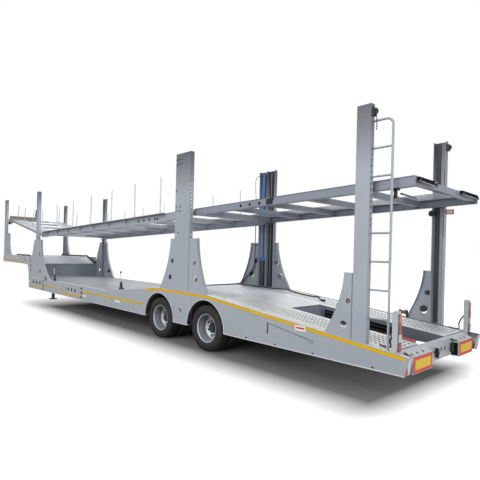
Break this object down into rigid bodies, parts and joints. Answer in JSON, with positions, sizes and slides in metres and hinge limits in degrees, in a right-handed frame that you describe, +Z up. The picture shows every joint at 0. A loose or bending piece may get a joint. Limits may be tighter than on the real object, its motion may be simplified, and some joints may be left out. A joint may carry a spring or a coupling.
{
  "type": "two-deck car-transporter semi-trailer",
  "caption": "Articulated lorry's two-deck car-carrying semi-trailer with twin-wheel axles, tilting upper decks, guide columns, a ladder and landing legs.",
  "frame": {"origin": "on the ground, under the middle of the whole trailer", "axes": "+X forward to the kingpin end, +Y to the trailer's left, +Z up"},
  "size_m": [16.62, 2.55, 3.74],
  "materials": {
    "frame_paint": "satin light blue-grey paint",
    "plank_steel": "galvanised perforated steel",
    "post_steel": "galvanised",
    "bare_steel": "machined and greased",
    "chassis_black": "satin black",
    "cylinder_blue": "gloss blue",
    "black_plastic": "textured",
    "marker_red": "reflective",
    "hose_black": "black rubber",
    "hose_grey": "pale grey rubber",
    "tyre": "black rubber",
    "rim_silver": "silver"
  },
  "bodies": {
    "root": {"side_frame_left": "frame_paint", "side_frame_right": "frame_paint", "rear_beam": "frame_paint", "marker_boxes": "marker_red", "lamp_posts": "frame_paint", "runways": "plank_steel", "hump_deck": "plank_steel", "well_floor": "plank_steel", "inner_rails": "frame_paint", "cross_members": "frame_paint", "arch_liners": "black_plastic", "suspension_arms": "chassis_black", "axle_beams": "chassis_black", "columns_rear": "frame_paint", "columns_mid": "frame_paint", "columns_fore": "frame_paint", "columns_front": "frame_paint", "ladder": "frame_paint", "lift_cylinders": "cylinder_blue", "bulkhead": "frame_paint", "neck_deck": "frame_paint", "neck_rails": "frame_paint", "neck_crosses": "frame_paint", "kingpin_plate": "bare_steel", "landing_legs": "chassis_black", "hose_fittings": "post_steel", "deck_hose": "hose_black", "floor_hose": "hose_black", "column_hose": "hose_grey", "neck_hose": "hose_black"},
    "wheels_rear_left": {"tyres_rear_left": "tyre", "rims_rear_left": "rim_silver"},
    "wheels_rear_right": {"tyres_rear_right": "tyre", "rims_rear_right": "rim_silver"},
    "wheels_front_left": {"tyres_front_left": "tyre", "rims_front_left": "rim_silver"},
    "wheels_front_right": {"tyres_front_right": "tyre", "rims_front_right": "rim_silver"},
    "main_deck": {"main_deck_frame": "frame_paint", "main_deck_planks": "plank_steel", "main_deck_posts": "post_steel"},
    "rear_deck": {"rear_deck_frame": "frame_paint", "rear_deck_planks": "plank_steel"},
    "front_platform": {"platform_frame": "frame_paint", "platform_planks": "plank_steel", "platform_posts": "post_steel"}
  },
  "joints": [
    {"name": "wheels_rear_left_spin", "type": "hinge", "parent": "root", "child": "wheels_rear_left", "pos_m": [-4.63, 0.99, 0.418], "axis": [0, 1, 0], "continuous": true},
    {"name": "wheels_rear_right_spin", "type": "hinge", "parent": "root", "child": "wheels_rear_right", "pos_m": [-4.63, -0.99, 0.418], "axis": [0, 1, 0], "continuous": true},
    {"name": "wheels_front_left_spin", "type": "hinge", "parent": "root", "child": "wheels_front_left", "pos_m": [-3.15, 0.99, 0.418], "axis": [0, 1, 0], "continuous": true},
    {"name": "wheels_front_right_spin", "type": "hinge", "parent": "root", "child": "wheels_front_right", "pos_m": [-3.15, -0.99, 0.418], "axis": [0, 1, 0], "continuous": true},
    {"name": "main_deck_tilt", "type": "hinge", "parent": "root", "child": "main_deck", "pos_m": [4.285, 0, 2.26887], "axis": [0, 1, 0], "range_deg": [-4, 1.5]},
    {"name": "rear_deck_tilt", "type": "hinge", "parent": "main_deck", "child": "rear_deck", "pos_m": [-4, 0, 2.5772], "axis": [0, 1, 0], "range_deg": [-9, 2]},
    {"name": "platform_tilt", "type": "hinge", "parent": "root", "child": "front_platform", "pos_m": [4.385, 0, 2.272], "axis": [0, -1, 0], "range_deg": [-17, 1.5]}
  ]
}
